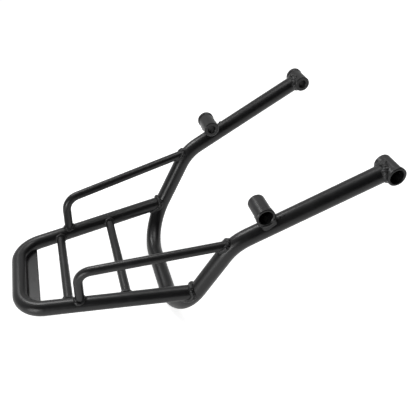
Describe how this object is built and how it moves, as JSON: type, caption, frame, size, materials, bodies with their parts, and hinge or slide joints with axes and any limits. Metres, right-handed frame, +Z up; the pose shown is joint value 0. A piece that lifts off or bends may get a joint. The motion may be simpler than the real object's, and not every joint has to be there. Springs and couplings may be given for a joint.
{
  "type": "motorcycle rear rack",
  "caption": "Rear luggage rack for a motorcycle: bent mounting hoop, tapered tube platform, cross bars, grab rails and stepped bolt bushes.",
  "frame": {"origin": "middle of the line through the two front bolt bushes, on the centre plane", "axes": "+X to the motorcycle's right along the bolt line, +Y forward, +Z up; the platform lies level behind and below the origin"},
  "size_m": [0.303, 0.4805, 0.22],
  "materials": {
    "black_powder_coat": "satin powder coat over welded steel"
  },
  "bodies": {
    "root": {"hoop_tube": "black_powder_coat", "rail_tube": "black_powder_coat", "rear_cross_bar": "black_powder_coat", "front_cross_bar": "black_powder_coat", "left_grab_rail": "black_powder_coat", "right_grab_rail": "black_powder_coat", "rear_plate": "black_powder_coat", "front_left_bush": "black_powder_coat", "front_right_bush": "black_powder_coat", "rear_left_bush": "black_powder_coat", "rear_right_bush": "black_powder_coat", "rear_left_saddle": "black_powder_coat", "rear_right_saddle": "black_powder_coat", "left_rail_weld": "black_powder_coat", "rear_bar_left_weld": "black_powder_coat", "front_bar_left_weld": "black_powder_coat", "left_grab_foot_weld": "black_powder_coat", "left_grab_end_weld": "black_powder_coat", "front_left_bush_weld": "black_powder_coat", "right_rail_weld": "black_powder_coat", "rear_bar_right_weld": "black_powder_coat", "front_bar_right_weld": "black_powder_coat", "right_grab_foot_weld": "black_powder_coat", "right_grab_end_weld": "black_powder_coat", "front_right_bush_weld": "black_powder_coat", "rear_plate_welds": "black_powder_coat"}
  },
  "joints": []
}
